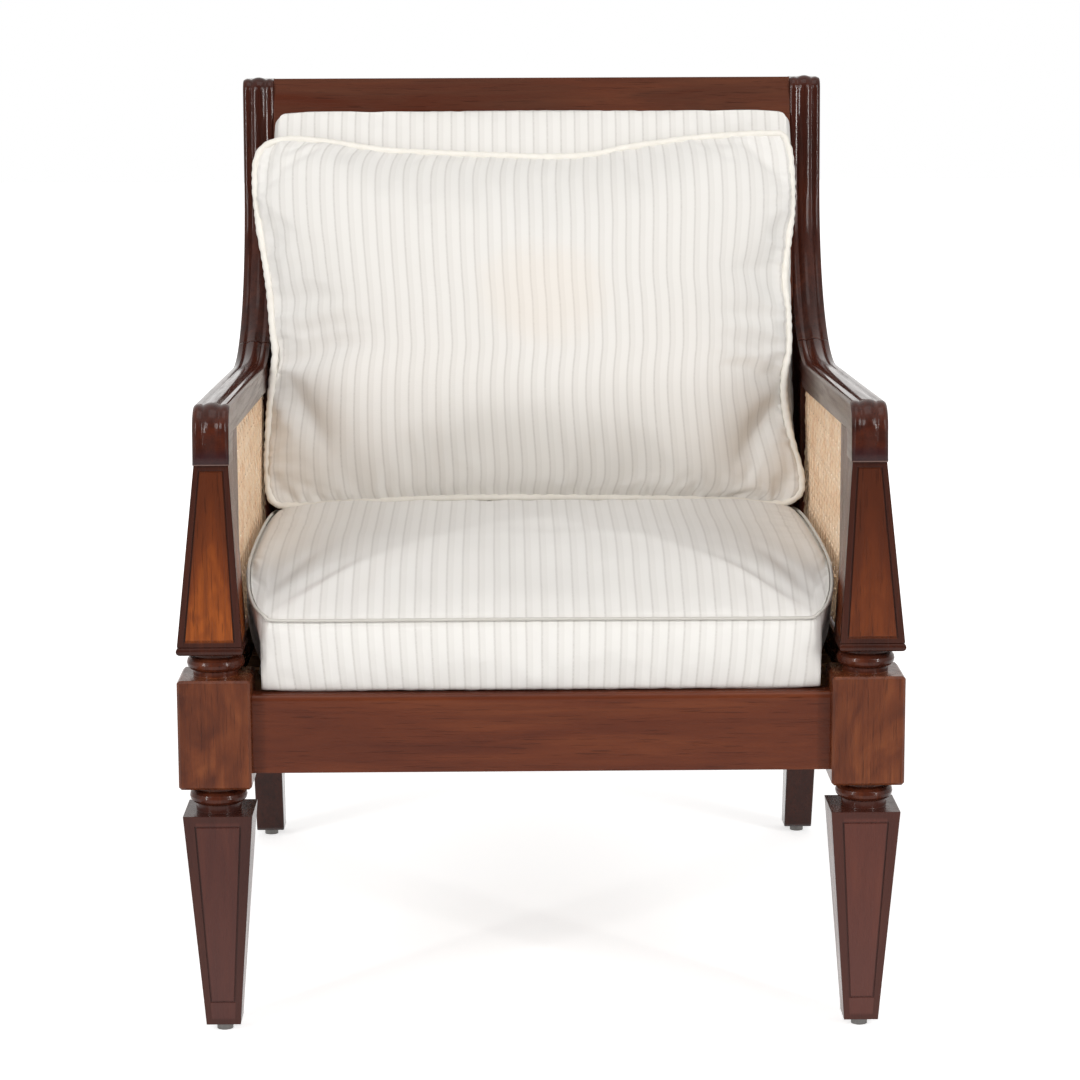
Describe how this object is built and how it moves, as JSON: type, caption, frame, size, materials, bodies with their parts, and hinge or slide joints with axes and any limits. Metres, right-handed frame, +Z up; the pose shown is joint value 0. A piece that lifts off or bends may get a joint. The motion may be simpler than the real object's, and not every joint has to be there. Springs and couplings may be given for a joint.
{
  "type": "planters chair",
  "caption": "Low colonial lounge armchair with reeded downswept arms, panelled tapered legs, caned sides and back, and loose striped seat, back and throw cushions.",
  "frame": {"origin": "centre of the chair's outline at floor level", "axes": "+Z up, +X across the seat to the right of the picture, the chair faces -Y"},
  "size_m": [0.7, 0.778, 0.9124],
  "materials": {
    "polished_wood": "glossy dark stain",
    "inner_wood": "unfinished",
    "cane": "natural woven cane",
    "ticking": "striped cotton ticking",
    "steel": "dull"
  },
  "bodies": {
    "frame": {"front_post_left": "polished_wood", "front_post_right": "polished_wood", "arm_left": "polished_wood", "arm_right": "polished_wood", "back_post_left": "polished_wood", "back_post_right": "polished_wood", "front_glide_left": "steel", "front_glide_right": "steel", "back_glide_left": "steel", "back_glide_right": "steel", "side_seat_rail_left": "polished_wood", "side_seat_rail_right": "polished_wood", "back_stile_left": "polished_wood", "back_stile_right": "polished_wood", "side_panel_stile_left": "polished_wood", "side_panel_stile_right": "polished_wood", "side_panel_rail_left": "polished_wood", "side_panel_rail_right": "polished_wood", "side_cane_left": "cane", "side_cane_right": "cane", "seat_cleat_left": "inner_wood", "seat_cleat_right": "inner_wood", "corner_block_front_left": "inner_wood", "corner_block_front_right": "inner_wood", "corner_block_back_left": "inner_wood", "corner_block_back_right": "inner_wood", "front_seat_rail": "polished_wood", "back_seat_rail": "polished_wood", "crest_rail": "polished_wood", "lower_back_rail": "polished_wood", "back_cane": "cane", "seat_slat_1": "inner_wood", "seat_slat_2": "inner_wood", "seat_slat_3": "inner_wood", "seat_slat_4": "inner_wood", "seat_slat_5": "inner_wood", "seat_slat_6": "inner_wood", "seat_slat_7": "inner_wood"},
    "seat_cushion": {"seat_cushion": "ticking"},
    "back_cushion": {"back_cushion": "ticking"},
    "pillow": {"pillow": "ticking"}
  },
  "joints": [
    {"name": "seat_cushion_lift", "type": "slide", "parent": "frame", "child": "seat_cushion", "axis": [0, 0, 1], "range_m": [0, 0.35]},
    {"name": "back_cushion_lift", "type": "slide", "parent": "seat_cushion", "child": "back_cushion", "axis": [0, 0.274, 0.9617], "range_m": [0, 0.45]},
    {"name": "pillow_lift", "type": "slide", "parent": "seat_cushion", "child": "pillow", "axis": [0, 0.274, 0.9617], "range_m": [0, 0.45]}
  ]
}
